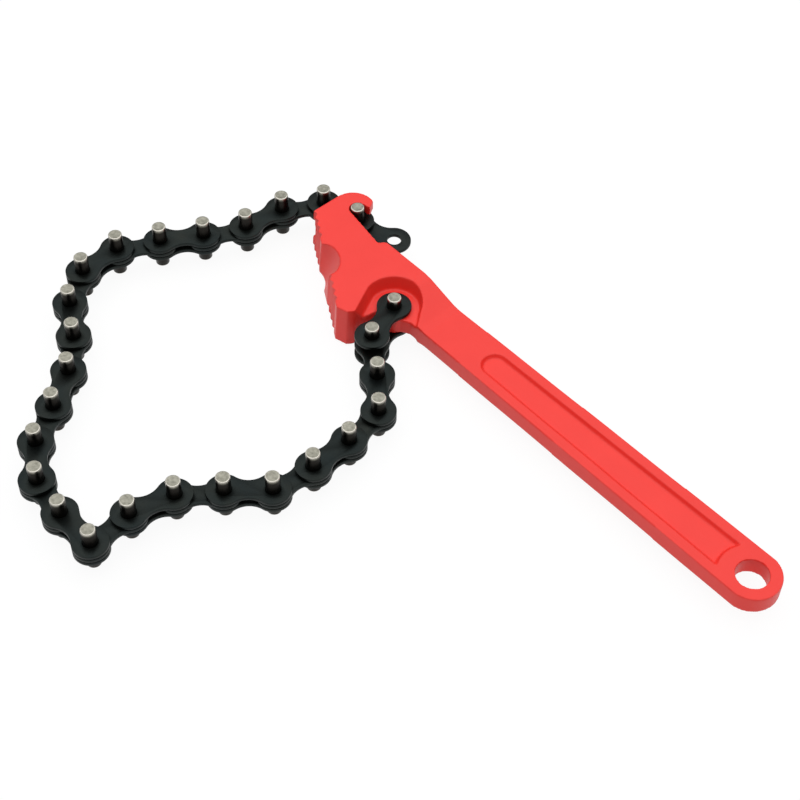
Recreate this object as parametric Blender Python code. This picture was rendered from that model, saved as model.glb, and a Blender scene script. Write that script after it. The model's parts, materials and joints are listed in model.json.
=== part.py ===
"""Chain wrench: a forged two-jaw head on a flat handle, with a 26-pin chain anchored in the head.

The chain is laid out as a slack loop whose last pin rests in the hook of the head.
Everything is drawn in a design frame: X runs from the hook seat towards the hang hole, Y is measured
from the handle's centre line, and Z from the middle of the thickness. The last step moves the whole
wrench, so that the world origin is the middle of its footprint, on the surface it lies on.
"""

import math

import bmesh
import bpy
from mathutils import Matrix, Vector

MM = 0.001

# Chain
OUTER_LINKS = 13
CHAIN_PITCH = 15.875 * MM
PLATE_THICKNESS = 1.4 * MM
PLATE_GAP = 0.3 * MM
PLATE_EYE_RADIUS = 6.15 * MM
PLATE_WAIST_WIDTH = 7.2 * MM
PIN_RADIUS = 2.5 * MM
PIN_LENGTH = 18.0 * MM
PIN_CHAMFER = 0.35 * MM
PIN_CLEARANCE = 0.08 * MM
PIN_SIDES = 16
PLATE_ARC_STEPS = 9
PLATE_HOLLOW_STEPS = 4

# Headings of the 25 links between the anchor pin and the hooked pin, in degrees from the handle's
# centre line, as the slack chain lies. The closing step then turns each one by a few degrees at most.
LINK_HEADINGS = (
    -71.0, -35.5, -40.5, -79.5, -88.5, -95.0, -130.0, -125.5, -103.0, -86.0,
    -178.0, -187.0, -213.0, -236.0, -233.5, -221.5, -210.5, -232.0, -266.5, -297.0,
    -301.0, -296.0, -276.0, -299.5, -349.5,
)
END_LINK_HEADING = -343.5
CLOSING_ROUNDS = 12

# Handle
HANDLE_THICKNESS = 7.0 * MM
HANDLE_NECK_WIDTH = 16.9 * MM
HANDLE_END_WIDTH = 19.4 * MM
HANG_HOLE_X = 199.8 * MM
HANG_HOLE_RADIUS = 5.5 * MM
POCKET_START_X = 79.5 * MM
POCKET_RIM = 3.6 * MM
# The panel's hollow end keeps this far outside the round end of the handle
POCKET_END_GAP = 1.4 * MM
POCKET_DEPTH = 1.5 * MM
POCKET_DRAFT = 0.9 * MM
POCKET_CORNER_RADIUS = 3.6 * MM
POCKET_CORNER_SHARE = 0.95

# Head
HEAD_THICKNESS = 16.8 * MM
HEAD_REACH = 9.6 * MM
RAMP_BEFORE_ANCHOR = 0.4 * MM
RAMP_LENGTH = 15.0 * MM
RAMP_BLEND = 3.0 * MM

# Hook, and the groove between its two cheeks that the chain lies in
HOOK_Y = 12.0 * MM
SEAT_CLEARANCE = 0.5 * MM
ARM_RADIUS = 8.3 * MM
ARM_DROP = 1.1 * MM
ARM_TIP_X = 2.7 * MM
SLOT_LOWER_SLOPE = -9.7
SLOT_UPPER_SLOPE = 12.0
ARM_TIP_ANGLE = 74.0
SLOT_END_X = 18.1 * MM
NOTCH_LENGTH = 2.4 * MM
NOTCH_BEND_SHARES = (0.55, 0.75)
CHEEK_THICKNESS = 4.2 * MM
GROOVE_CLEARANCE = 0.7 * MM
# The groove floor falls away towards the end face, and parts the cheeks at the first of the teeth
GROOVE_LEAD_LENGTH = 6.2 * MM
GROOVE_LEAD_ANGLE = 70.0
# Where the groove floor runs out: along the notch's length, and up from the floor to the back edge
GROOVE_END_SHARES = ((-0.5, 0.0), (0.2, 0.25), (0.6, 0.85), (1.0, 1.05))

# Jaw face
JAW_ANGLE = -31.0
JAW_TOP_Y = -0.9 * MM
JAW_LENGTH = 48.6 * MM
TOE_LENGTH = 4.4 * MM
TOE_ANGLE = 17.0
TOE_HEEL = 2.6 * MM
TOE_HEEL_ANGLE = 59.0
TOOTH_PITCH = 3.6 * MM
TOOTH_DEPTH = 1.25 * MM
UPPER_TEETH = 4
LOWER_TEETH = 4
LOWER_TEETH_START = 31.6 * MM
SCOOP_CENTRE = 25.0 * MM
SCOOP_HALF_LENGTH = 7.7 * MM
SCOOP_DEPTH = 5.3 * MM
SCOOP_MIDDLE_SHARE = 0.28
SCOOP_SIDES = 32

# Anchor: a flange in an arched recess, with the first chain pin through it
ANCHOR_BEHIND_TOE = 4.8 * MM
ANCHOR_Y = -8.2 * MM
FLANGE_THICKNESS = 6.6 * MM
LUG_RADIUS = 5.9 * MM
LUG_RIGHT_ANGLE = -20.0
LUG_LEFT_ANGLE = -122.0
FLANGE_FILLET_X = 3.2 * MM
FLANGE_SAG_SHARE = 0.12
RECESS_RADIUS = 9.1 * MM
RECESS_DRAFT = 1.7 * MM
RECESS_LEFT_ANGLE = 196.0
RECESS_RIGHT_ANGLE = 32.0
RECESS_FOOT_X = 14.2 * MM

# Straight pieces that an arc is drawn with
SEAT_STEPS = 10
ARM_STEPS = 12
LUG_STEPS = 8
RECESS_STEPS = 16
HANDLE_END_STEPS = 20
POCKET_CORNER_STEPS = 5
POCKET_END_STEPS = 10
HANG_HOLE_SIDES = 32
SMOOTH_ANGLE = 35.0

# Cutters run past the faces that they cut by this much
OVERRUN = 3.0 * MM
# Points closer than this are one point
MERGE = 0.001 * MM

PARTS = "chain_wrench"
CUTTERS = "chain_wrench_cutters"

RED_PAINT = ("painted_red", (0.86, 0.055, 0.045, 1.0), 0.38, 0.0)
BLACK_OXIDE = ("black_oxide_steel", (0.035, 0.042, 0.042, 1.0), 0.42, 0.85)


def clear_scene():
    for item in list(bpy.data.objects):
        bpy.data.objects.remove(item, do_unlink=True)


def make_collection(name):
    old = bpy.data.collections.get(name)
    if old is not None:
        bpy.data.collections.remove(old)
    made = bpy.data.collections.new(name)
    bpy.context.scene.collection.children.link(made)
    return made


def make_material(look):
    name, colour, roughness, metallic = look
    material = bpy.data.materials.get(name) or bpy.data.materials.new(name)
    material.use_nodes = True
    shader = material.node_tree.nodes["Principled BSDF"]
    shader.inputs["Base Color"].default_value = colour
    shader.inputs["Roughness"].default_value = roughness
    shader.inputs["Metallic"].default_value = metallic
    material.diffuse_color = colour
    return material


def add_object(name, data, collection):
    made = bpy.data.objects.new(name, data)
    bpy.data.collections[collection].objects.link(made)
    return made


def along(angle, length=1.0):
    """A flat vector of this length, at this angle in degrees."""
    turn = math.radians(angle)
    return Vector((math.cos(turn) * length, math.sin(turn) * length))


def arc(centre, radius, start, end, steps):
    """Points on an arc, both ends included, with angles in degrees."""
    return [centre + along(start + (end - start) * i / steps, radius) for i in range(steps + 1)]


def circle(centre, radius, sides):
    return [centre + along(360.0 * (i + 0.5) / sides, radius) for i in range(sides)]


def tidy_mesh(mesh):
    """Weld the loose caps and turn every face outwards."""
    work = bmesh.new()
    work.from_mesh(mesh)
    bmesh.ops.remove_doubles(work, verts=work.verts, dist=MERGE)
    bmesh.ops.recalc_face_normals(work, faces=work.faces)
    work.to_mesh(mesh)
    work.free()
    return mesh


def slab_mesh(name, outlines, half_height, along_y=False):
    """A flat solid from closed outlines, where an outline inside another is a hole.

    With along_y the outline is a side view, drawn in X and Z, and the solid's height runs along Y.
    """
    curve = bpy.data.curves.new(name + "_outline", "CURVE")
    curve.dimensions = "2D"
    curve.fill_mode = "BOTH"
    curve.extrude = half_height
    for outline in outlines:
        spline = curve.splines.new("POLY")
        spline.points.add(len(outline) - 1)
        spline.use_cyclic_u = True
        for point, place in zip(spline.points, outline):
            point.co = (place.x, place.y, 0.0, 1.0)
    drawn = bpy.data.objects.new(name + "_outline", curve)
    bpy.context.scene.collection.objects.link(drawn)
    if along_y:
        drawn.rotation_euler.x = math.pi / 2
    bpy.context.view_layer.update()
    seen = drawn.evaluated_get(bpy.context.evaluated_depsgraph_get())
    mesh = bpy.data.meshes.new_from_object(seen)
    mesh.transform(drawn.matrix_world)
    mesh.name = name
    bpy.data.objects.remove(drawn, do_unlink=True)
    bpy.data.curves.remove(curve)
    return tidy_mesh(mesh)


def loft_mesh(name, lower, upper, lower_z, upper_z):
    """A closed solid between two outlines with as many points, at two heights."""
    work = bmesh.new()
    ends = ((lower, lower_z), (upper, upper_z))
    rings = [[work.verts.new((p.x, p.y, z)) for p in ring] for ring, z in ends]
    count = len(lower)
    for i in range(count):
        after = (i + 1) % count
        work.faces.new((rings[0][i], rings[0][after], rings[1][after], rings[1][i]))
    work.faces.new(rings[0][::-1])
    work.faces.new(rings[1])
    bmesh.ops.recalc_face_normals(work, faces=work.faces)
    mesh = bpy.data.meshes.new(name)
    work.to_mesh(mesh)
    work.free()
    return mesh


def add_cutter(name, mesh):
    cutter = add_object(name, mesh, CUTTERS)
    cutter.hide_render = True
    cutter.display_type = "WIRE"
    return cutter


def cut(target, cutter, operation="DIFFERENCE"):
    modifier = target.modifiers.new(cutter.name, "BOOLEAN")
    modifier.operation = operation
    modifier.solver = "EXACT"
    modifier.object = cutter


def hook_seat():
    return Vector((0.0, HOOK_Y))


def jaw_corner():
    return Vector((-HEAD_REACH, JAW_TOP_Y))


def jaw_point(distance, depth=0.0):
    """A place on the jaw face, this far from its upper corner and this deep in the metal."""
    return jaw_corner() + along(JAW_ANGLE, distance) + along(JAW_ANGLE + 90.0, depth)


def toe_end():
    return jaw_point(JAW_LENGTH) + along(TOE_ANGLE, TOE_LENGTH) + along(TOE_HEEL_ANGLE, TOE_HEEL)


def anchor():
    """The anchor pin sits just behind the toe, so that its links swing clear of it."""
    return Vector((toe_end().x + ANCHOR_BEHIND_TOE, ANCHOR_Y))


def ramp_start():
    """Where the thick head begins to taper: beside the anchor pin."""
    return anchor().x - RAMP_BEFORE_ANCHOR


def handle_half_width(x):
    """Half the handle's width, which grows evenly from the ramp's foot to the hang hole."""
    start = ramp_start() + RAMP_LENGTH
    share = (x - start) / (HANG_HOLE_X - start)
    return (HANDLE_NECK_WIDTH + (HANDLE_END_WIDTH - HANDLE_NECK_WIDTH) * max(share, 0.0)) / 2


def hook_outline():
    """From the back edge, into the slot, round the seat, out along the arm and down the end face."""
    back_y = HANDLE_NECK_WIDTH / 2
    seat_radius = PIN_RADIUS + SEAT_CLEARANCE
    lower = hook_seat() + along(SLOT_LOWER_SLOPE - 90.0, seat_radius)
    run = SLOT_END_X - lower.x
    slot_end = Vector((SLOT_END_X, lower.y + run * math.tan(math.radians(SLOT_LOWER_SLOPE))))
    notch_rise = back_y - slot_end.y
    upper = hook_seat() + along(SLOT_UPPER_SLOPE + 90.0, seat_radius)
    tip_rise = (ARM_TIP_X - upper.x) * math.tan(math.radians(SLOT_UPPER_SLOPE))
    tip = Vector((ARM_TIP_X, upper.y + tip_rise))
    arm_centre = Vector((ARM_RADIUS - HEAD_REACH, HOOK_Y - ARM_DROP))
    arm = arc(arm_centre, ARM_RADIUS, ARM_TIP_ANGLE, 180.0, ARM_STEPS)
    bend_x, bend_y = NOTCH_BEND_SHARES
    points = [Vector((SLOT_END_X + NOTCH_LENGTH, back_y))]
    points.append(slot_end + Vector((NOTCH_LENGTH * bend_x, notch_rise * bend_y)))
    points.append(slot_end)
    seat_turn = -360.0 + SLOT_UPPER_SLOPE + 90.0
    points += arc(hook_seat(), seat_radius, SLOT_LOWER_SLOPE - 90.0, seat_turn, SEAT_STEPS)
    points.append(tip)
    return points + arm + [jaw_corner()]


def body_outline():
    """The whole plan of the forging, from the hook round by the jaw, the anchor and the handle."""
    start = ramp_start() + RAMP_LENGTH
    lug = arc(anchor(), LUG_RADIUS, LUG_LEFT_ANGLE, LUG_RIGHT_ANGLE, LUG_STEPS)
    edge_y = -HANDLE_NECK_WIDTH / 2
    fillet = Vector((lug[-1].x + FLANGE_FILLET_X, edge_y))
    between = (lug[-1] + fillet) / 2 + (fillet - lug[-1]).orthogonal() * FLANGE_SAG_SHARE
    end = arc(Vector((HANG_HOLE_X, 0.0)), HANDLE_END_WIDTH / 2, -90.0, 90.0, HANDLE_END_STEPS)
    points = hook_outline()
    points.append(jaw_point(JAW_LENGTH))
    points.append(jaw_point(JAW_LENGTH) + along(TOE_ANGLE, TOE_LENGTH))
    points.append(toe_end())
    points += lug + [between, fillet, Vector((start, edge_y))]
    return points + end + [Vector((start, -edge_y))]


def body_profile():
    """The side view: thick head, a ramp on both faces, and the flat handle."""
    head = HEAD_THICKNESS / 2
    handle = HANDLE_THICKNESS / 2
    foot = ramp_start() + RAMP_LENGTH
    fall = (head - handle) / RAMP_LENGTH
    blend = RAMP_BLEND / 2
    upper = [
        Vector((-HEAD_REACH - OVERRUN, head)),
        Vector((ramp_start() - blend, head)),
        Vector((ramp_start() + blend, head - fall * blend)),
        Vector((foot - blend, handle + fall * blend)),
        Vector((foot + blend, handle)),
        Vector((HANG_HOLE_X + HANDLE_END_WIDTH, handle)),
    ]
    lower = [Vector((p.x, -p.y)) for p in reversed(upper)]
    return upper + lower


def groove_outline():
    """The chain's way between the cheeks: open at the end face and along the hook side."""
    floor_y = HOOK_Y - PLATE_EYE_RADIUS - GROOVE_CLEARANCE
    top_y = HOOK_Y + ARM_RADIUS + OVERRUN
    back_y = HANDLE_NECK_WIDTH / 2
    rise = back_y - floor_y
    left = -HEAD_REACH - OVERRUN
    lead_fall = (GROOVE_LEAD_LENGTH + OVERRUN) * math.tan(math.radians(GROOVE_LEAD_ANGLE))
    points = [Vector((left, floor_y - lead_fall)), Vector((GROOVE_LEAD_LENGTH - HEAD_REACH, floor_y))]
    for share_x, share_y in GROOVE_END_SHARES:
        points.append(Vector((SLOT_END_X + NOTCH_LENGTH * share_x, floor_y + rise * share_y)))
    return points + [Vector((points[-1].x, top_y)), Vector((left, top_y))]


def recess_outline(grow):
    """The arched pocket round the anchor pin, with its wall moved out by grow."""
    radius = RECESS_RADIUS + grow
    arch = arc(anchor(), radius, RECESS_LEFT_ANGLE, RECESS_RIGHT_ANGLE, RECESS_STEPS)
    left_foot = toe_end() + Vector((RECESS_DRAFT - grow, 0.0))
    left_step = (left_foot - arch[0]).normalized() * OVERRUN
    right_foot = Vector((anchor().x + RECESS_FOOT_X - RECESS_DRAFT + grow, -HANDLE_NECK_WIDTH / 2))
    right_step = (right_foot - arch[-1]).normalized() * OVERRUN
    return arch + [right_foot, right_foot + right_step, left_foot + left_step, left_foot]


def pocket_outline(grow):
    """The long panel pressed into the handle, hollow towards the hang hole."""
    hole = Vector((HANG_HOLE_X, 0.0))
    around = HANDLE_END_WIDTH / 2 + POCKET_END_GAP + POCKET_DRAFT - grow
    shrink = POCKET_RIM + POCKET_DRAFT - grow
    start = POCKET_START_X + POCKET_DRAFT - grow
    half = handle_half_width(start) - shrink
    corner = min(POCKET_CORNER_RADIUS, POCKET_CORNER_SHARE * half)
    far_half = handle_half_width(HANG_HOLE_X - around) - shrink
    far_angle = math.degrees(math.asin(far_half / around))
    upper_corner = Vector((start + corner, half - corner))
    lower_corner = Vector((start + corner, corner - half))
    points = arc(upper_corner, corner, 180.0, 90.0, POCKET_CORNER_STEPS)
    points += arc(hole, around, 180.0 - far_angle, 180.0 + far_angle, POCKET_END_STEPS)
    return points + arc(lower_corner, corner, 270.0, 180.0, POCKET_CORNER_STEPS)


def teeth_outline(first, count):
    """A saw-tooth strip that bites the jaw face, starting this far down it."""
    points = [jaw_point(first, -OVERRUN)]
    for i in range(count):
        place = first + i * TOOTH_PITCH
        points.append(jaw_point(place))
        points.append(jaw_point(place + TOOTH_PITCH / 2, TOOTH_DEPTH))
    points.append(jaw_point(first + count * TOOTH_PITCH))
    points.append(jaw_point(first + count * TOOTH_PITCH, -OVERRUN))
    return points


def add_scoops():
    """The relief between the two toothed stretches: an oval funnel from each face."""
    cutters = []
    for side, name in ((1.0, "scoop_upper"), (-1.0, "scoop_lower")):
        depth = HEAD_THICKNESS / 2
        wide = 1.0 + (1.0 - SCOOP_MIDDLE_SHARE) * OVERRUN / depth
        mesh = bpy.data.meshes.new(name)
        work = bmesh.new()
        bmesh.ops.create_cone(
            work, cap_ends=True, segments=SCOOP_SIDES,
            radius1=SCOOP_MIDDLE_SHARE * SCOOP_HALF_LENGTH, radius2=wide * SCOOP_HALF_LENGTH,
            depth=depth + OVERRUN,
        )
        bmesh.ops.translate(work, verts=work.verts, vec=(0.0, 0.0, (depth + OVERRUN) / 2))
        squeeze = Matrix.Diagonal((1.0, SCOOP_DEPTH / SCOOP_HALF_LENGTH, side, 1.0))
        place = jaw_point(SCOOP_CENTRE)
        turn = Matrix.Rotation(math.radians(JAW_ANGLE), 4, "Z")
        shift = Matrix.Translation((place.x, place.y, 0.0))
        bmesh.ops.transform(work, matrix=shift @ turn @ squeeze, verts=work.verts)
        bmesh.ops.recalc_face_normals(work, faces=work.faces)
        work.to_mesh(mesh)
        work.free()
        cutters.append(add_cutter(name, mesh))
    return cutters


def add_round_cutter(name, centre, radius, sides, depth):
    mesh = slab_mesh(name, [circle(centre, radius, sides)], depth / 2)
    return add_cutter(name, mesh)


def add_face_pockets(name, outline_at, floor_z, draft, face_z):
    """A drafted pocket on each face, from floor_z outwards, as wide as outline_at(draft) at face_z."""
    cutters = []
    steep = draft / (face_z - floor_z)
    top_z = face_z + OVERRUN
    for side, end in ((1.0, "upper"), (-1.0, "lower")):
        floor = outline_at(0.0)
        top = outline_at(draft + steep * OVERRUN)
        mesh = loft_mesh(f"{name}_{end}", floor, top, side * floor_z, side * top_z)
        cutters.append(add_cutter(f"{name}_{end}", mesh))
    return cutters


def build_body():
    """The forging: plan and side view make the blank, and the cutters shape it."""
    blank = slab_mesh("wrench_body", [body_outline()], HEAD_THICKNESS / 2)
    body = add_object("wrench_body", blank, PARTS)
    profile = slab_mesh("side_view", [body_profile()], HANG_HOLE_X, along_y=True)
    cut(body, add_cutter("side_view", profile), "INTERSECT")
    groove = slab_mesh("chain_groove", [groove_outline()], HEAD_THICKNESS / 2 - CHEEK_THICKNESS)
    cut(body, add_cutter("chain_groove", groove))
    through = HEAD_THICKNESS + OVERRUN
    for name, first, count in (
        ("upper_teeth", 0.0, UPPER_TEETH),
        ("lower_teeth", LOWER_TEETH_START, LOWER_TEETH),
    ):
        strip = slab_mesh(name, [teeth_outline(first, count)], through / 2)
        cut(body, add_cutter(name, strip))
    cutters = add_scoops()
    cutters += add_face_pockets(
        "anchor_recess", recess_outline, FLANGE_THICKNESS / 2, RECESS_DRAFT, HEAD_THICKNESS / 2
    )
    cutters += add_face_pockets(
        "handle_panel", pocket_outline, HANDLE_THICKNESS / 2 - POCKET_DEPTH, POCKET_DRAFT,
        HANDLE_THICKNESS / 2,
    )
    hole = Vector((HANG_HOLE_X, 0.0))
    cutters.append(add_round_cutter("hang_hole", hole, HANG_HOLE_RADIUS, HANG_HOLE_SIDES, through))
    bore = PIN_RADIUS + PIN_CLEARANCE
    cutters.append(add_round_cutter("anchor_bore", anchor(), bore, PIN_SIDES, through))
    for cutter in cutters:
        cut(body, cutter)
    body.data.materials.append(make_material(RED_PAINT))
    return body


def plate_outlines():
    """A link plate in its own frame: first eye at the origin, second one pitch along X."""
    first = Vector((0.0, 0.0))
    second = Vector((CHAIN_PITCH, 0.0))
    waist = PLATE_WAIST_WIDTH / 2
    radius = (CHAIN_PITCH ** 2 / 4 + waist ** 2 - PLATE_EYE_RADIUS ** 2) / (2 * (PLATE_EYE_RADIUS - waist))
    hollow = Vector((CHAIN_PITCH / 2, waist + radius))
    flank = math.degrees(math.atan2(hollow.y, hollow.x))
    outline = arc(second, PLATE_EYE_RADIUS, flank - 180.0, 180.0 - flank, PLATE_ARC_STEPS)
    outline += arc(hollow, radius, -flank, flank - 180.0, PLATE_HOLLOW_STEPS)[1:-1]
    outline += arc(first, PLATE_EYE_RADIUS, flank, 360.0 - flank, PLATE_ARC_STEPS)
    outline += arc(Vector((hollow.x, -hollow.y)), radius, 180.0 - flank, flank, PLATE_HOLLOW_STEPS)[1:-1]
    holes = [circle(eye, PIN_RADIUS + PIN_CLEARANCE, PIN_SIDES) for eye in (first, second)]
    return outline, holes


def plate_mesh():
    outline, holes = plate_outlines()
    return slab_mesh("link_plate", [outline] + holes, PLATE_THICKNESS / 2)


def pin_mesh():
    """One chain pin about the origin, with a small chamfer at both ends."""
    work = bmesh.new()
    bmesh.ops.create_cone(
        work, cap_ends=True, segments=PIN_SIDES, radius1=PIN_RADIUS, radius2=PIN_RADIUS, depth=PIN_LENGTH
    )
    turn = Matrix.Rotation(math.pi / PIN_SIDES, 4, "Z")
    bmesh.ops.transform(work, matrix=turn, verts=work.verts)
    rims = [e for e in work.edges if abs(e.verts[0].co.z - e.verts[1].co.z) < MERGE]
    bmesh.ops.bevel(work, geom=rims, offset=PIN_CHAMFER, segments=1, affect="EDGES")
    bmesh.ops.recalc_face_normals(work, faces=work.faces)
    mesh = bpy.data.meshes.new("link_pin")
    work.to_mesh(mesh)
    work.free()
    return mesh


def pin_plate_mesh(height):
    """An outer link's lower plate, this far below the middle, with both pins riveted into it."""
    outline, _ = plate_outlines()
    solid = slab_mesh("pin_plate_blank", [outline], PLATE_THICKNESS / 2)
    solid.transform(Matrix.Translation((0.0, 0.0, -height)))
    plate = add_object("pin_plate_blank", solid, CUTTERS)
    tools = [plate]
    for number, x in enumerate((0.0, CHAIN_PITCH)):
        pin = add_object(f"pin_{number}", pin_mesh(), CUTTERS)
        pin.location.x = x
        cut(plate, pin, "UNION")
        tools.append(pin)
    bpy.context.view_layer.update()
    seen = plate.evaluated_get(bpy.context.evaluated_depsgraph_get())
    mesh = bpy.data.meshes.new_from_object(seen)
    mesh.name = "pin_plate"
    for tool in tools:
        bpy.data.objects.remove(tool, do_unlink=True)
    return tidy_mesh(mesh)


def closed_headings():
    """The link headings, turned by the least that brings the last pin into the hook seat."""
    headings = [math.radians(h) for h in LINK_HEADINGS]
    for _ in range(CLOSING_ROUNDS):
        steps = [Vector((math.cos(h), math.sin(h))) * CHAIN_PITCH for h in headings]
        miss = hook_seat() - anchor() - sum(steps, Vector((0.0, 0.0)))
        # How far each link's end moves as its heading turns is its own step turned a quarter
        sides = [Vector((-s.y, s.x)) for s in steps]
        xx = sum(s.x * s.x for s in sides)
        xy = sum(s.x * s.y for s in sides)
        yy = sum(s.y * s.y for s in sides)
        spread = xx * yy - xy * xy
        pull = Vector(((yy * miss.x - xy * miss.y) / spread, (xx * miss.y - xy * miss.x) / spread))
        headings = [h + s.dot(pull) for h, s in zip(headings, sides)]
    return headings


def link_names():
    """The links in order from the anchor: outer and inner ones take turns."""
    names = []
    for number in range(1, OUTER_LINKS + 1):
        names += [f"outer_link_{number:02d}", f"inner_link_{number:02d}"]
    return names


def add_pivot(name, parent, place, turn):
    """An empty on a link's first pin, which carries the link."""
    pivot = add_object(name, None, PARTS)
    pivot.empty_display_size = PIN_RADIUS
    pivot.parent = parent
    pivot.location = (place.x, place.y, 0.0)
    pivot.rotation_euler.z = turn
    return pivot


def add_piece(name, mesh, parent, height, material):
    piece = add_object(name, mesh, PARTS)
    piece.parent = parent
    piece.location.z = height
    if not mesh.materials:
        mesh.materials.append(material)
    return piece


def build_chain(carrier):
    """Thirteen outer links of a pin plate and a cover plate, and thirteen single inner plates."""
    oxide = make_material(BLACK_OXIDE)
    plate = plate_mesh()
    stack_height = PLATE_THICKNESS + PLATE_GAP
    anchor_height = FLANGE_THICKNESS / 2 + PLATE_GAP + PLATE_THICKNESS / 2
    pin_plate = pin_plate_mesh(stack_height)
    anchor_pin_plate = pin_plate_mesh(anchor_height)
    headings = closed_headings() + [math.radians(END_LINK_HEADING)]
    pivot = carrier
    place = anchor()
    before = 0.0
    for name, heading in zip(link_names(), headings):
        pivot = add_pivot(name + "_pivot", pivot, place, heading - before)
        place = Vector((CHAIN_PITCH, 0.0))
        before = heading
        if name.startswith("inner"):
            add_piece(name + "_plate", plate, pivot, 0.0, oxide)
        elif name == "outer_link_01":
            add_piece(name + "_cover_plate", plate, pivot, anchor_height, oxide)
            add_piece(name + "_pin_plate", anchor_pin_plate, pivot, 0.0, oxide)
        else:
            add_piece(name + "_cover_plate", plate, pivot, stack_height, oxide)
            add_piece(name + "_pin_plate", pin_plate, pivot, 0.0, oxide)


def shade_round(collection):
    for item in bpy.data.collections[collection].objects:
        if item.type == "MESH":
            item.data.shade_smooth()
            item.data.set_sharp_from_angle(angle=math.radians(SMOOTH_ANGLE))


def stand_on_origin(carrier):
    """Move the whole wrench so that the origin is the middle of its footprint."""
    bpy.context.view_layer.update()
    scene = bpy.context.evaluated_depsgraph_get()
    corners = []
    for item in bpy.data.collections[PARTS].objects:
        if item.type == "MESH":
            seen = item.evaluated_get(scene)
            corners += [seen.matrix_world @ v.co for v in seen.data.vertices]
    low = Vector(min(c[i] for c in corners) for i in range(3))
    high = Vector(max(c[i] for c in corners) for i in range(3))
    middle = (low + high) / 2
    carrier.location = (-middle.x, -middle.y, -low.z)


def main():
    clear_scene()
    make_collection(PARTS)
    make_collection(CUTTERS)
    carrier = add_object("wrench_frame", None, PARTS)
    body = build_body()
    body.parent = carrier
    for cutter in bpy.data.collections[CUTTERS].objects:
        cutter.parent = carrier
    build_chain(carrier)
    shade_round(PARTS)
    stand_on_origin(carrier)
    bpy.context.view_layer.update()


main()
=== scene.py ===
# %% [markdown]
# A chain wrench
#
# The wrench is one red forging with a long chain hinged to its head. The chain goes round a pipe, and one
# of its pins is dropped into the hook of the head, so that pulling on the handle makes the teeth bite.
# Here the chain lies slack, with its last pin in the hook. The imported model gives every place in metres,
# so it is loaded first, and nothing of it is moved: each new piece is built where its solid already is.

# %% Load the frame and tie this script's millimetres to it
import json
import math

import bpy
from mathutils import Matrix, Vector


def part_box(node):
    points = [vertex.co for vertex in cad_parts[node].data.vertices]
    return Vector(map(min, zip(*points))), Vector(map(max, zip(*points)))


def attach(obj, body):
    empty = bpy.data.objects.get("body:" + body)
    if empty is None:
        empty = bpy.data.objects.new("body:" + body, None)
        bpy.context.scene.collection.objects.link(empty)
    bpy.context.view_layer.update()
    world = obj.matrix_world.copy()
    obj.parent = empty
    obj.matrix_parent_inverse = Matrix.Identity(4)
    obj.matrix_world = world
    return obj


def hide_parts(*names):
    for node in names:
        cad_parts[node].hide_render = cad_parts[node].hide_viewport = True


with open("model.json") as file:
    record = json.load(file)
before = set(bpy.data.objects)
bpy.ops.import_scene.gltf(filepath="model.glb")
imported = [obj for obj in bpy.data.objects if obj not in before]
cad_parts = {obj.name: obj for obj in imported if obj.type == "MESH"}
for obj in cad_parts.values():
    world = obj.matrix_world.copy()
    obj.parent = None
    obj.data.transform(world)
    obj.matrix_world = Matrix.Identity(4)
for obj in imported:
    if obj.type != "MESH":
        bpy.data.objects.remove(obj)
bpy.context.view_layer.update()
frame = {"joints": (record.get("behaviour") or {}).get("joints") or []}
MM = 0.001

HEAD_REACH = 9.6     # from the hook's seat back to the end face, in millimetres
ANCHOR = (42.4055, -8.2)
body_low, body_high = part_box("wrench_body")
hinges = [Vector(joint["pos_m"]) for joint in frame["joints"]]
ORIGIN = Vector((body_low.x + HEAD_REACH * MM, hinges[0].y - ANCHOR[1] * MM, (body_low.z + body_high.z) / 2))


def at(x, y, z=0.0):
    """A place in the wrench's own millimetres, counted from the hook's seat line, in metres of the frame."""
    return ORIGIN + Vector((x, y, z)) * MM


print("hinges:", len(hinges), "origin:", [round(c, 5) for c in ORIGIN])

# %% [markdown]
# ## The camera
#
# The photograph looks down on the table at about 50 degrees, from the front left of the handle's line, with
# a long lens, so the far links are hardly smaller than the near ones. The camera is turned about the
# vertical, tipped down, and rolled a little, as a hand-held camera is.

# %% The camera
VIEW_AZIMUTH = 46.6
VIEW_ELEVATION = 50.336
VIEW_ROLL = 1.444
CAMERA_PLACE = (0.264357, -0.223024, 0.456700)
LENS = 77.22          # millimetres, for a sensor 36 mm wide
bpy.ops.object.camera_add(location=CAMERA_PLACE)
camera = bpy.context.object
camera.name = "photo_camera"
turn = Matrix.Rotation(math.radians(VIEW_AZIMUTH), 4, "Z")
tip = Matrix.Rotation(math.radians(90.0 - VIEW_ELEVATION), 4, "X")
roll = Matrix.Rotation(math.radians(VIEW_ROLL), 4, "Z")
camera.rotation_euler = (turn @ tip @ roll).to_euler()
camera.data.sensor_width = 36.0
camera.data.lens = LENS
camera.data.clip_start = 0.01
bpy.context.scene.camera = camera
bpy.context.scene.view_settings.view_transform = "Standard"

# %% [markdown]
# ## Small tools
#
# Two ways of working come back all through this file. The first is tracing: one vertex is extruded from
# point to point, and spun where the outline is round, until it meets its start. The loop is filled and
# extruded to its height, as one would do by hand over a drawing. The second is the Boolean modifier, which
# joins the rough forms and cuts the openings, and is then applied.

# %% Tools for tracing and cutting
def deselect():
    if bpy.context.object and bpy.context.object.mode != "OBJECT":
        bpy.ops.object.mode_set(mode="OBJECT")
    bpy.ops.object.select_all(action="DESELECT")


def make_active(piece):
    deselect()
    piece.select_set(True)
    bpy.context.view_layer.objects.active = piece


def settle(piece):
    """Put the piece's place into its mesh, and leave the object at the origin."""
    make_active(piece)
    bpy.ops.object.transform_apply(location=True, rotation=True, scale=True)
    return piece


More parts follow.
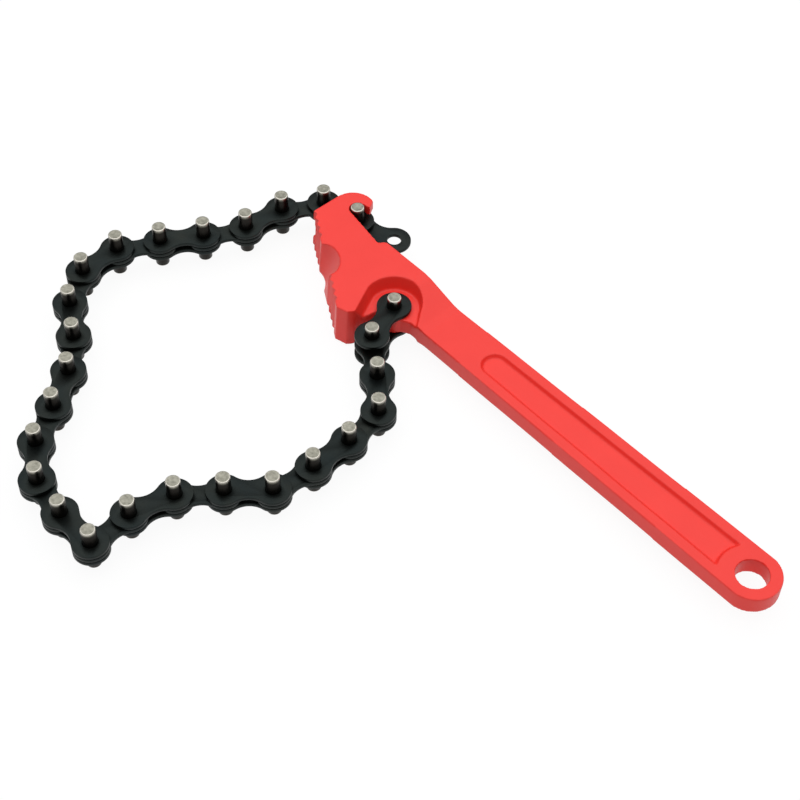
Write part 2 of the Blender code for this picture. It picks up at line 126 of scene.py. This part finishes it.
def trace(name, start, steps, low, high):
    """A slab from a traced outline. A step is a point to go to, or (centre, degrees, count) to spin."""
    deselect()
    bpy.ops.mesh.primitive_plane_add(size=MM, location=at(*start, low), enter_editmode=True)
    bpy.ops.mesh.select_mode(type="VERT")
    bpy.ops.mesh.merge(type="CENTER")
    place = Vector(start)
    for step in steps:
        if len(step) == 2:
            move = (Vector(step) - place) * MM
            bpy.ops.mesh.extrude_vertices_move(TRANSFORM_OT_translate={"value": (move.x, move.y, 0.0)})
            place = Vector(step)
        else:
            centre, angle, count = step
            bpy.ops.mesh.spin(
                steps=count, angle=math.radians(-angle), center=at(*centre, low), axis=(0, 0, 1)
            )
            arm = place - Vector(centre)
            arm.rotate(Matrix.Rotation(math.radians(angle), 2))
            place = Vector(centre) + arm
    bpy.ops.mesh.select_all(action="SELECT")
    bpy.ops.mesh.remove_doubles(threshold=0.01 * MM)
    bpy.ops.mesh.edge_face_add()
    bpy.ops.mesh.extrude_region_move(TRANSFORM_OT_translate={"value": (0.0, 0.0, (high - low) * MM)})
    bpy.ops.mesh.select_all(action="SELECT")
    bpy.ops.mesh.normals_make_consistent(inside=False)
    deselect()
    piece = bpy.context.object
    piece.name = name
    return settle(piece)


def drum(name, centre, radius, low, high, sides=64):
    """A round bar that stands upright, for bosses and bores."""
    deselect()
    bpy.ops.mesh.primitive_cylinder_add(
        vertices=sides, radius=radius * MM, depth=(high - low) * MM, location=at(*centre, (low + high) / 2)
    )
    piece = bpy.context.object
    piece.name = name
    return settle(piece)


def combine(piece, tool, with_self=False):
    """Cut the tool out of the piece. Self intersection is slower, and copes with edges that nearly touch."""
    make_active(piece)
    modifier = piece.modifiers.new("cut", "BOOLEAN")
    modifier.operation = "DIFFERENCE"
    modifier.solver = "EXACT"
    modifier.use_self = with_self
    modifier.object = tool
    bpy.ops.object.modifier_apply(modifier=modifier.name)
    bpy.data.objects.remove(tool)
    return piece


def copy_of(piece, name):
    made = piece.copy()
    made.data = piece.data.copy()
    made.name = name
    bpy.context.scene.collection.objects.link(made)
    return made


def mirrored(piece, name):
    """A copy turned over about the wrench's middle plane."""
    made = copy_of(piece, name)
    flip = Matrix.Translation(ORIGIN) @ Matrix.Scale(-1.0, 4, Vector((0, 0, 1))) @ Matrix.Translation(-ORIGIN)
    made.data.transform(flip)
    made.data.flip_normals()
    return made


def pick(piece, test):
    """Select, in edit mode, the faces whose middle and normal pass the test."""
    make_active(piece)
    bpy.ops.object.mode_set(mode="EDIT")
    bpy.ops.mesh.select_mode(type="FACE")
    bpy.ops.mesh.select_all(action="DESELECT")
    bpy.ops.object.mode_set(mode="OBJECT")
    for face in piece.data.polygons:
        face.select = test(face.center, face.normal)
    bpy.ops.object.mode_set(mode="EDIT")


# %% [markdown]
# ## The forging
#
# Head and handle are one drop forging. The head is 16.8 mm thick and the handle 7 mm, with a ramp between
# them on both faces. A hammer die cannot make a sharp corner, so every edge is rounded and every wall leans.
# The plan is traced in one go: it starts at the hook's mouth, goes round the seat and out along the arm,
# down the end face, along the toothed jaw to the toe, round the lug of the anchor pin, and along the handle.

# %% Plan of the forging
HEAD_HALF = 8.4
HANDLE_HALF = 3.5
NECK_HALF = 8.45
END_HALF = 9.7
RAMP_START = 42.0
RAMP_END = 57.0
HOLE_X = 199.8
SEAT = (0.0, 12.0)
SEAT_RADIUS = 3.0
SLOT_LOWER = -9.7     # slopes of the slot's two walls, in degrees
SLOT_UPPER = 12.0
ARM_CENTRE = (-1.3, 10.9)
ARM_RADIUS = 8.3
ARM_TIP_ANGLE = 74.0
JAW_CORNER = (-9.6, -0.9)
JAW_ANGLE = -31.0
JAW_LENGTH = 48.6
LUG_RADIUS = 5.9


def polar(centre, radius, angle):
    turn = math.radians(angle)
    return (centre[0] + radius * math.cos(turn), centre[1] + radius * math.sin(turn))


def on_jaw(distance, depth=0.0):
    """A place this far down the jaw's face and this deep in the metal."""
    return polar(polar(JAW_CORNER, distance, JAW_ANGLE), depth, JAW_ANGLE + 90.0)


slot_start = polar(SEAT, SEAT_RADIUS, SLOT_LOWER - 90.0)
slot_end = (18.1, slot_start[1] + (18.1 - slot_start[0]) * math.tan(math.radians(SLOT_LOWER)))
upper_start = polar(SEAT, SEAT_RADIUS, SLOT_UPPER + 90.0)
arm_tip = (2.7, upper_start[1] + (2.7 - upper_start[0]) * math.tan(math.radians(SLOT_UPPER)))
jaw_end = on_jaw(JAW_LENGTH)
toe_low = polar(jaw_end, 4.4, 17.0)
toe_end = polar(toe_low, 2.6, 59.0)
plan = [
    (19.4, 7.8), slot_end, slot_start, (SEAT, -(360.0 - 180.0 - SLOT_UPPER + SLOT_LOWER), 16), arm_tip,
    polar(ARM_CENTRE, ARM_RADIUS, ARM_TIP_ANGLE), (ARM_CENTRE, 180.0 - ARM_TIP_ANGLE, 20), JAW_CORNER,
    jaw_end, toe_low, toe_end, polar(ANCHOR, LUG_RADIUS, -122.0), (ANCHOR, 102.0, 16),
    (49.6, -9.2), (51.15, -NECK_HALF), (RAMP_END, -NECK_HALF), (HOLE_X, -END_HALF),
    ((HOLE_X, 0.0), 180.0, 40), (RAMP_END, NECK_HALF), (20.5, NECK_HALF),
]
forging = trace("forging", (20.5, NECK_HALF), plan, -HEAD_HALF, HEAD_HALF)
print("plan:", len(forging.data.vertices), "vertices")

# %% [markdown]
# The plan alone would make the handle as thick as the head. So the side view is traced too, turned up on
# edge, and cut away above and below the handle. The ramp between them is a little rounded at both ends.

# %% Thin the handle
SIDE_BLEND = 1.5
ramp_fall = (HEAD_HALF - HANDLE_HALF) / (RAMP_END - RAMP_START)
side_steps = [
    (RAMP_START + SIDE_BLEND, HEAD_HALF - ramp_fall * SIDE_BLEND),
    (RAMP_END - SIDE_BLEND, HANDLE_HALF + ramp_fall * SIDE_BLEND),
    (RAMP_END + SIDE_BLEND, HANDLE_HALF), (225.0, HANDLE_HALF), (225.0, 15.0),
    (RAMP_START - SIDE_BLEND, 15.0), (RAMP_START - SIDE_BLEND, HEAD_HALF),
]
above = trace("above_handle", (RAMP_START - SIDE_BLEND, HEAD_HALF), side_steps, -30.0, 30.0)
quarter = Matrix.Rotation(math.radians(90.0), 4, "X")
above.data.transform(Matrix.Translation(ORIGIN) @ quarter @ Matrix.Translation(-ORIGIN))
below = mirrored(above, "below_handle")
combine(forging, above)
combine(forging, below)

# %% [markdown]
# The head is split into two cheeks by a groove that the chain lies in, so that only the ends of its pins
# bear on the hook. Two arched recesses leave a flange for the anchor pin, and a shallow panel is
# pressed into each side of the handle. The dies pull straight out of these, so their walls are drafted: the
# lower face of the cutter is inset and pushed down in one go.

# %% Groove, recesses, panels and bores
GROOVE_HALF = 4.2
FLANGE_HALF = 3.3
RECESS_RADIUS = 10.8
PANEL_START = 80.0
PANEL_HALF = 5.047
PANEL_CORNER = 4.9
PANEL_END_RADIUS = 11.1
PANEL_END_ANGLE = 32.74
PANEL_DEPTH = 1.5
PANEL_DRAFT = 0.9
RECESS_DRAFT = 1.7
HOLE_RADIUS = 5.5
ANCHOR_BORE = 2.58

groove = trace(
    "groove", (-12.6, -20.13),
    [(-3.4, 5.15), (16.9, 5.15), (18.58, 5.98), (19.54, 7.96), (20.5, 8.62), (20.5, 22.2), (-12.6, 22.2),
     (-12.6, -20.13)],
    -GROOVE_HALF, GROOVE_HALF,
)
combine(forging, groove)


def drafted(name, start, steps, face, depth, draft):
    """A pocket cutter on the upper face whose walls lean in by the draft over its depth."""
    start_above = 0.05     # the outline keeps clear of the face, which a Boolean likes better
    pocket = trace(name, start, steps, face + start_above, face + 3.0)
    pick(pocket, lambda middle, normal: normal.z < -0.9)
    bpy.ops.mesh.inset(thickness=draft * MM, depth=(depth + start_above) * MM)
    deselect()
    return pocket


recess_start = polar(ANCHOR, RECESS_RADIUS, 196.0)
recess = drafted(
    "recess", recess_start,
    [(ANCHOR, -164.0, 32), (56.6, -8.45), (58.2, -11.0), (38.7, -25.2), toe_end, recess_start],
    HEAD_HALF, HEAD_HALF - FLANGE_HALF, RECESS_DRAFT,
)
panel = drafted(
    "panel", (PANEL_START, PANEL_HALF - PANEL_CORNER),
    [((PANEL_START + PANEL_CORNER, PANEL_HALF - PANEL_CORNER), -90.0, 8),
     polar((HOLE_X, 0.0), PANEL_END_RADIUS, 180.0 - PANEL_END_ANGLE),
     ((HOLE_X, 0.0), 2 * PANEL_END_ANGLE, 20),
     (PANEL_START + PANEL_CORNER, -PANEL_HALF),
     ((PANEL_START + PANEL_CORNER, PANEL_CORNER - PANEL_HALF), -90.0, 8),
     (PANEL_START, PANEL_HALF - PANEL_CORNER)],
    HANDLE_HALF, PANEL_DEPTH, PANEL_DRAFT,
)
for pocket in (recess, panel):
    combine(forging, mirrored(pocket, pocket.name + "_below"), with_self=True)
    combine(forging, pocket, with_self=True)
combine(forging, drum("hang_hole", (HOLE_X, 0.0), HOLE_RADIUS, -12.0, 12.0))
combine(forging, drum("anchor_bore", ANCHOR, ANCHOR_BORE, -12.0, 12.0))
print("with pockets:", len(forging.data.vertices), "vertices")

# %% [markdown]
# Between the two rows of teeth the jaw is scooped out from the upper face. The scoop is cut as by a round
# cutter that leans two ways: it is deepest at the upper face, and lower down it is shallower and nearer to
# the hook.

# %% The scoop in the jaw
SCOOP_CENTRE = 25.0
SCOOP_HALF = 7.7      # along the jaw
SCOOP_DEPTH = 5.3     # into the upper face
SCOOP_RUN_OUT = 20.8  # how far under the upper face it would run out of the jaw
SCOOP_SLANT = 0.3     # towards the hook, for each millimetre down
scoop_lean = math.atan2(SCOOP_DEPTH, SCOOP_RUN_OUT)
deselect()
bpy.ops.mesh.primitive_cylinder_add(
    vertices=64, radius=SCOOP_HALF * MM, depth=60.0 * MM, location=at(*on_jaw(SCOOP_CENTRE), HEAD_HALF),
    rotation=(-scoop_lean, 0.0, math.radians(JAW_ANGLE)),
)
scoop = bpy.context.object
scoop.name = "scoop"
scoop.scale.y = SCOOP_DEPTH * math.cos(scoop_lean) / SCOOP_HALF
settle(scoop)
jaw_along = Vector((*polar((0.0, 0.0), 1.0, JAW_ANGLE), 0.0))
for vertex in scoop.data.vertices:
    vertex.co += jaw_along * SCOOP_SLANT * (vertex.co.z - ORIGIN.z - HEAD_HALF * MM)
combine(forging, scoop)

# %% [markdown]
# A forging has no sharp edge left after the dies and the shot blasting. Remeshing with small voxels and
# smoothing rounds every edge evenly, inside corners too, which a bevel cannot do where many walls meet.

# %% Round the forging
VOXEL = 0.40
SMOOTHING = 3


def apply_modifier(piece, kind, **settings):
    make_active(piece)
    modifier = piece.modifiers.new(kind.lower(), kind)
    for name, value in settings.items():
        setattr(modifier, name, value)
    bpy.ops.object.modifier_apply(modifier=modifier.name)


apply_modifier(forging, "REMESH", mode="VOXEL", voxel_size=VOXEL * MM)
apply_modifier(forging, "SMOOTH", factor=0.5, iterations=SMOOTHING)
print("forging:", len(forging.data.polygons), "faces")

# %% [markdown]
# The teeth are cut after forging, so they come after the rounding: V grooves of 3.6 mm pitch across the
# jaw, four at the hook end and four at the toe end.

# %% The teeth
TOOTH_PITCH = 3.6
TOOTH_DEPTH = 1.05
for name, first in (("upper_teeth", 0.0), ("lower_teeth", 31.6)):
    steps = [on_jaw(first)]
    for tooth in range(4):
        steps.append(on_jaw(first + (tooth + 0.5) * TOOTH_PITCH, TOOTH_DEPTH))
        steps.append(on_jaw(first + (tooth + 1.0) * TOOTH_PITCH))
    steps += [on_jaw(first + 4 * TOOTH_PITCH, -3.0), on_jaw(first, -3.0)]
    combine(forging, trace(name, on_jaw(first, -3.0), steps, -12.0, 12.0))
print("with teeth:", len(forging.data.polygons), "faces")

# %% [markdown]
# The wall under the teeth is not quite upright. The dies need it to lean, and it stands a little further out
# at the lower face, round the toe as well, teeth and all.

# %% Lean the walls of the jaw and the toe
DRAFT = 0.75          # how far the lower face stands out
DRAFT_REACH = 6.0     # how deep in the metal the lean dies out
jaw_out = Vector(polar((0.0, 0.0), 1.0, JAW_ANGLE - 90.0))
toe_out = Vector(polar((0.0, 0.0), 1.0, 17.0 - 90.0))


def fade(depth):
    share = min(max(1.0 - depth / DRAFT_REACH, 0.0), 1.0)
    return share * share * (3.0 - 2.0 * share)


for vertex in forging.data.vertices:
    spot = (vertex.co - ORIGIN) / MM
    if spot.x > ANCHOR[0] - LUG_RADIUS / 2:
        continue
    swell = DRAFT * (0.5 - spot.z / (2 * HEAD_HALF))
    jaw_share = fade(-(spot.to_2d() - Vector(JAW_CORNER)).dot(jaw_out))
    toe_share = fade(-(spot.to_2d() - Vector(toe_low)).dot(toe_out)) * (1.0 - jaw_share)
    shift = (jaw_out * jaw_share + toe_out * toe_share) * swell * MM
    vertex.co += Vector((shift.x, shift.y, 0.0))
make_active(forging)
bpy.ops.object.shade_smooth_by_angle(angle=math.radians(40.0))

# %% [markdown]
# ## The chain
#
# The links are stamped from 1.4 mm strip: two round eyes, and a waist that two hollow punches leave between
# them. The tumbler takes the burr off, so the edges get a small bevel. One plate is modelled and copied.

# %% One link plate
PITCH = 15.875
PLATE_HALF = 0.7
EYE_RADIUS = 6.15
BORE_RADIUS = 2.58
WAIST_HALF = 3.6
PLATE_BEVEL = 0.18

hollow_radius = ((PITCH / 2) ** 2 + WAIST_HALF ** 2 - EYE_RADIUS ** 2) / (2 * (EYE_RADIUS - WAIST_HALF))
hollow_y = WAIST_HALF + hollow_radius
lean = math.degrees(math.atan2(hollow_y, PITCH / 2))     # from an eye's middle to the middle of a hollow
arc = 180.0 - 2 * lean
plate = trace(
    "link_plate", polar((0.0, 0.0), EYE_RADIUS, lean),
    [((0.0, 0.0), 360.0 - 2 * lean, 44), ((PITCH / 2, -hollow_y), -arc, 20),
     ((PITCH, 0.0), 360.0 - 2 * lean, 44), ((PITCH / 2, hollow_y), -arc, 20)],
    -PLATE_HALF, PLATE_HALF,
)
for x in (0.0, PITCH):
    combine(plate, drum("bore", (x, 0.0), BORE_RADIUS, -3.0, 3.0, 48))
apply_modifier(
    plate, "BEVEL", width=PLATE_BEVEL * MM, segments=2, limit_method="ANGLE", angle_limit=math.radians(60.0)
)
make_active(plate)
bpy.ops.object.shade_smooth_by_angle(angle=math.radians(40.0))
print("plate:", len(plate.data.polygons), "faces")

# %% [markdown]
# The pins are cut from bright drawn bar. Their rims are rounded, and the ends are a little dished where the
# rivet punch struck. They stand proud of the plates on both sides, because the hook holds them there.

# %% One pin
PIN_RADIUS = 2.5
PIN_HALF = 9.0
PIN_BEVEL = 0.35
pin = drum("chain_pin", (0.0, 0.0), PIN_RADIUS, -PIN_HALF, PIN_HALF, 48)
apply_modifier(
    pin, "BEVEL", width=PIN_BEVEL * MM, segments=3, limit_method="ANGLE", angle_limit=math.radians(60.0)
)
pick(pin, lambda middle, normal: abs(normal.z) > 0.99)
bpy.ops.mesh.inset(thickness=0.25 * MM)
bpy.ops.mesh.inset(thickness=0.45 * MM, depth=-0.07 * MM)
bpy.ops.mesh.inset(thickness=0.7 * MM)
deselect()
# The rim faces take the second material, ground steel painted brighter as a painted highlight.
for face in pin.data.polygons:
    spot = (face.center - ORIGIN) / MM
    on_rim = spot.to_2d().length > PIN_RADIUS - 0.3 and abs(spot.z) > PIN_HALF - 0.3
    face.material_index = 1 if on_rim else 0
make_active(pin)
bpy.ops.object.shade_smooth_by_angle(angle=math.radians(35.0))

# %% [markdown]
# Every link is set by the two hinges that it joins, so the loop closes by itself. The last plate hangs
# past the hooked pin, and its free eye is found from the solid's own corner. The first link straddles the
# flange of the head, so its two plates stand further apart than the others.

# %% Copy the links along the chain
STACK = 1.7           # from the middle to an outer plate's middle
ANCHOR_STACK = 4.3
end_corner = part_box("inner_link_13_plate")[1]
end_eye = Vector((end_corner.x - EYE_RADIUS * MM, end_corner.y - EYE_RADIUS * MM, ORIGIN.z))
places = hinges + [end_eye]


def link_copy(master, name, index, height, body, node):
    """Place a copy of the plate or pin at a hinge, turned towards the next one, and tie it to its body."""
    here, there = places[index], places[min(index + 1, len(places) - 1)]
    heading = math.atan2(there.y - here.y, there.x - here.x) if there != here else 0.0
    made = copy_of(master, name)
    spot = Matrix.Translation((here.x, here.y, ORIGIN.z + height * MM))
    made.data.transform(spot @ Matrix.Rotation(heading, 4, "Z") @ Matrix.Translation(-ORIGIN))
    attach(made, body)
    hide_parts(node)
    return made


plates, pins = [], []
for number in range(1, 14):
    outer, inner = f"outer_link_{number:02d}", f"inner_link_{number:02d}"
    first = 2 * number - 2
    stack = ANCHOR_STACK if number == 1 else STACK
    for side, height, node in (("upper", stack, "cover_plate"), ("lower", -stack, "pin_plate")):
        plates.append(link_copy(
            plate, f"{outer}_{side}_steel", first, height, outer, f"{outer}_{node}"
        ))
    plates.append(link_copy(plate, f"{inner}_steel", first + 1, 0.0, inner, f"{inner}_plate"))
    for end in (first, first + 1):
        pins.append(link_copy(
            pin, f"pin_{end + 1:02d}", end, 0.0, outer, f"{outer}_pin_plate"
        ))
for master in (plate, pin):
    bpy.data.objects.remove(master)
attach(forging, "wrench")
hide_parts("wrench_body")
print("plates:", len(plates), "pins:", len(pins))

# %% [markdown]
# ## Finishes
#
# The body is dipped and baked in red enamel, straight on the shot-blasted forging. The paint is glossy and
# levels out, but the lumps of the forging still show through it as slow waves in the reflections.

# %% Tools for materials
def colour(code):
    """An sRGB hex value as the linear colour that Blender works with."""
    parts = [int(code[i:i + 2], 16) / 255 for i in (1, 3, 5)]
    linear = [p / 12.92 if p <= 0.04045 else ((p + 0.055) / 1.055) ** 2.4 for p in parts]
    return (*linear, 1.0)


def add_node(tree, kind, links=(), **settings):
    """Add a node, set its values and sockets, and link its inputs from other nodes' outputs."""
    node = tree.nodes.new(kind)
    for name, value in settings.items():
        if name.startswith("in_"):
            key = name[3:].replace("_", " ")
            node.inputs[int(key) if key.isdigit() else key].default_value = value
        else:
            setattr(node, name, value)
    for source, socket in links:
        tree.links.new(source, node.inputs[socket])
    return node


def new_material(name, **sockets):
    """A material with its shader, whose even values are set on the shader's own sockets."""
    made = bpy.data.materials.new(name)
    made.use_nodes = True
    shader = made.node_tree.nodes["Principled BSDF"]
    for socket, value in sockets.items():
        shader.inputs[socket.replace("_", " ")].default_value = value
    where = made.node_tree.nodes.new("ShaderNodeTexCoord").outputs["Object"]
    return made, made.node_tree, shader, where


def per_mm(size):
    """A noise scale whose blobs are this many millimetres across."""
    return 1.0 / (size * MM)


# %% Red enamel on the forging
enamel, tree, shader, where = new_material("baked_red_enamel", Roughness=0.42, Specular_IOR_Level=0.42)
patches = add_node(tree, "ShaderNodeTexNoise", [(where, "Vector")], in_Scale=per_mm(14.0), in_Detail=3.0)
tone = add_node(
    tree, "ShaderNodeMix", [(patches.outputs["Fac"], 0)], data_type="RGBA",
    in_6=colour("#E62A21"), in_7=colour("#F03228"),
)
tree.links.new(tone.outputs[2], shader.inputs["Base Color"])
lumps = add_node(tree, "ShaderNodeTexNoise", [(where, "Vector")], in_Scale=per_mm(5.0), in_Detail=2.0)
peel = add_node(tree, "ShaderNodeTexNoise", [(where, "Vector")], in_Scale=per_mm(0.9), in_Detail=1.0)
slow = add_node(
    tree, "ShaderNodeBump", [(lumps.outputs["Fac"], "Height")], in_Strength=0.35, in_Distance=0.25 * MM
)
fine = add_node(
    tree, "ShaderNodeBump", [(peel.outputs["Fac"], "Height"), (slow.outputs["Normal"], "Normal")],
    in_Strength=0.25, in_Distance=0.03 * MM,
)
tree.links.new(fine.outputs["Normal"], shader.inputs["Normal"])
forging.data.materials.clear()
forging.data.materials.append(enamel)

# %% [markdown]
# The plates are black oxide on tumbled steel: nearly black, with a low metallic sheen, brownish and bluish
# in patches where the bath has worked unevenly, and greyer where the oil film is thin.

# %% Black oxide on the plates
oxide, tree, shader, where = new_material("black_oxide_steel", Metallic=1.0)
patches = add_node(tree, "ShaderNodeTexNoise", [(where, "Vector")], in_Scale=per_mm(9.0), in_Detail=4.0)
tone = add_node(
    tree, "ShaderNodeMix", [(patches.outputs["Fac"], 0)], data_type="RGBA",
    in_6=colour("#20282A"), in_7=colour("#2F312D"),
)
tree.links.new(tone.outputs[2], shader.inputs["Base Color"])
tumble = add_node(tree, "ShaderNodeTexNoise", [(where, "Vector")], in_Scale=per_mm(0.7), in_Detail=4.0)
rough = add_node(
    tree, "ShaderNodeMapRange", [(tumble.outputs["Fac"], "Value")], in_3=0.36, in_4=0.56,
)
tree.links.new(rough.outputs["Result"], shader.inputs["Roughness"])
fine = add_node(
    tree, "ShaderNodeBump", [(tumble.outputs["Fac"], "Height")], in_Strength=0.3, in_Distance=0.05 * MM
)
tree.links.new(fine.outputs["Normal"], shader.inputs["Normal"])
for piece in plates:
    piece.data.materials.clear()
    piece.data.materials.append(oxide)

# %% [markdown]
# The pins went through the same bath, but their ends are ground after riveting. So the shaft is dark, and
# at the upper end it turns to bright grey in the last millimetre, with a mottled face where the grinding left
# stain. The lower ends are ground as well, but they keep the dark shaft colour, which is painted shade.

# %% Ground steel on the pins
steel, tree, shader, where = new_material("ground_pin_steel", Metallic=1.0)
place = add_node(tree, "ShaderNodeSeparateXYZ", [(where, "Vector")])
rise = add_node(
    tree, "ShaderNodeMath", [(place.outputs["Z"], 0)], operation="SUBTRACT", in_1=ORIGIN.z
)
# Only the upper end is brightened; the lower end stays dark as painted shade.
ground_top_shaded_bottom_mask = add_node(
    tree, "ShaderNodeMapRange", [(rise.outputs[0], "Value")], interpolation_type="SMOOTHSTEP",
    in_1=7.4 * MM, in_2=9.2 * MM,
)
mottle = add_node(tree, "ShaderNodeTexNoise", [(where, "Vector")], in_Scale=per_mm(1.1), in_Detail=5.0)
ends = add_node(
    tree, "ShaderNodeMix", [(mottle.outputs["Fac"], 0)], data_type="RGBA",
    in_6=colour("#48473F"), in_7=colour("#BAB8AA"),
)
tone = add_node(
    tree, "ShaderNodeMix", [(ground_top_shaded_bottom_mask.outputs["Result"], 0), (ends.outputs[2], 7)], data_type="RGBA",
    in_6=colour("#2A2825"),
)
tree.links.new(tone.outputs[2], shader.inputs["Base Color"])
rough = add_node(
    tree, "ShaderNodeMapRange", [(mottle.outputs["Fac"], "Value")], in_3=0.28, in_4=0.5,
)
tree.links.new(rough.outputs["Result"], shader.inputs["Roughness"])
fine = add_node(
    tree, "ShaderNodeBump", [(mottle.outputs["Fac"], "Height")], in_Strength=0.25, in_Distance=0.04 * MM
)
tree.links.new(fine.outputs["Normal"], shader.inputs["Normal"])

# The rim is ground steel, and its brighter colour is a painted highlight all round the rim.
rim_painted_highlight, tree, shader, where = new_material("pin_rim_with_painted_highlight", Metallic=1.0, Roughness=0.3)
shader.inputs["Base Color"].default_value = colour("#C9C5BB")
for piece in pins:
    piece.data.materials.append(steel)
    piece.data.materials.append(rim_painted_highlight)

# %% [markdown]
# ## The studio
#
# The photograph has a plain white ground and a large soft light from above. The floor is a matt white that
# shows itself a little brighter to the camera than it is lit, so that it comes out white, and a soft shadow
# is left right under the wrench. The light on the wrench stays at a plain level.

# %% Floor, world and lights
FLOOR_SIZE = 40.0     # metres, so that its far edge is out of sight from low down too
GLOW_SHARE = 0.9
deselect()
bpy.ops.mesh.primitive_plane_add(size=FLOOR_SIZE, location=(0.0, 0.0, 0.0))
floor = bpy.context.object
floor.name = "floor"
ground = bpy.data.materials.new("white_ground")
ground.use_nodes = True
tree = ground.node_tree
tree.nodes.clear()
matt = add_node(tree, "ShaderNodeBsdfDiffuse", in_Color=colour("#E6E6E6"))
glow = add_node(tree, "ShaderNodeEmission", in_Color=(1.0, 1.0, 1.0, 1.0), in_Strength=1.03)
ray = add_node(tree, "ShaderNodeLightPath")
seen = add_node(
    tree, "ShaderNodeMath", [(ray.outputs["Is Camera Ray"], 0), (ray.outputs["Is Glossy Ray"], 1)],
    operation="MAXIMUM",
)
seen = add_node(
    tree, "ShaderNodeMath", [(seen.outputs[0], 0), (ray.outputs["Is Transmission Ray"], 1)],
    operation="MAXIMUM",
)
share = add_node(tree, "ShaderNodeMath", [(seen.outputs[0], 0)], operation="MULTIPLY", in_1=GLOW_SHARE)
blend = add_node(
    tree, "ShaderNodeMixShader", [(share.outputs[0], 0), (matt.outputs[0], 1), (glow.outputs[0], 2)]
)
add_node(tree, "ShaderNodeOutputMaterial", [(blend.outputs[0], "Surface")])
floor.data.materials.append(ground)

world = bpy.context.scene.world or bpy.data.worlds.new("studio")
bpy.context.scene.world = world
world.use_nodes = True
sky = world.node_tree.nodes["Background"]
sky.inputs["Color"].default_value = (1.0, 1.0, 1.0, 1.0)
sky.inputs["Strength"].default_value = 0.30


def softbox(name, place, target, size, power):
    deselect()
    bpy.ops.object.light_add(type="AREA", location=place)
    lamp = bpy.context.object
    lamp.name = name
    lamp.data.shape = "SQUARE"
    lamp.data.size = size
    lamp.data.energy = power
    lamp.rotation_euler = (Vector(target) - Vector(place)).to_track_quat("-Z", "Y").to_euler()
    return lamp


softbox("overhead", (-0.1, 0.1, 0.9), (0.0, 0.0, 0.0), 2.0, 17.0)
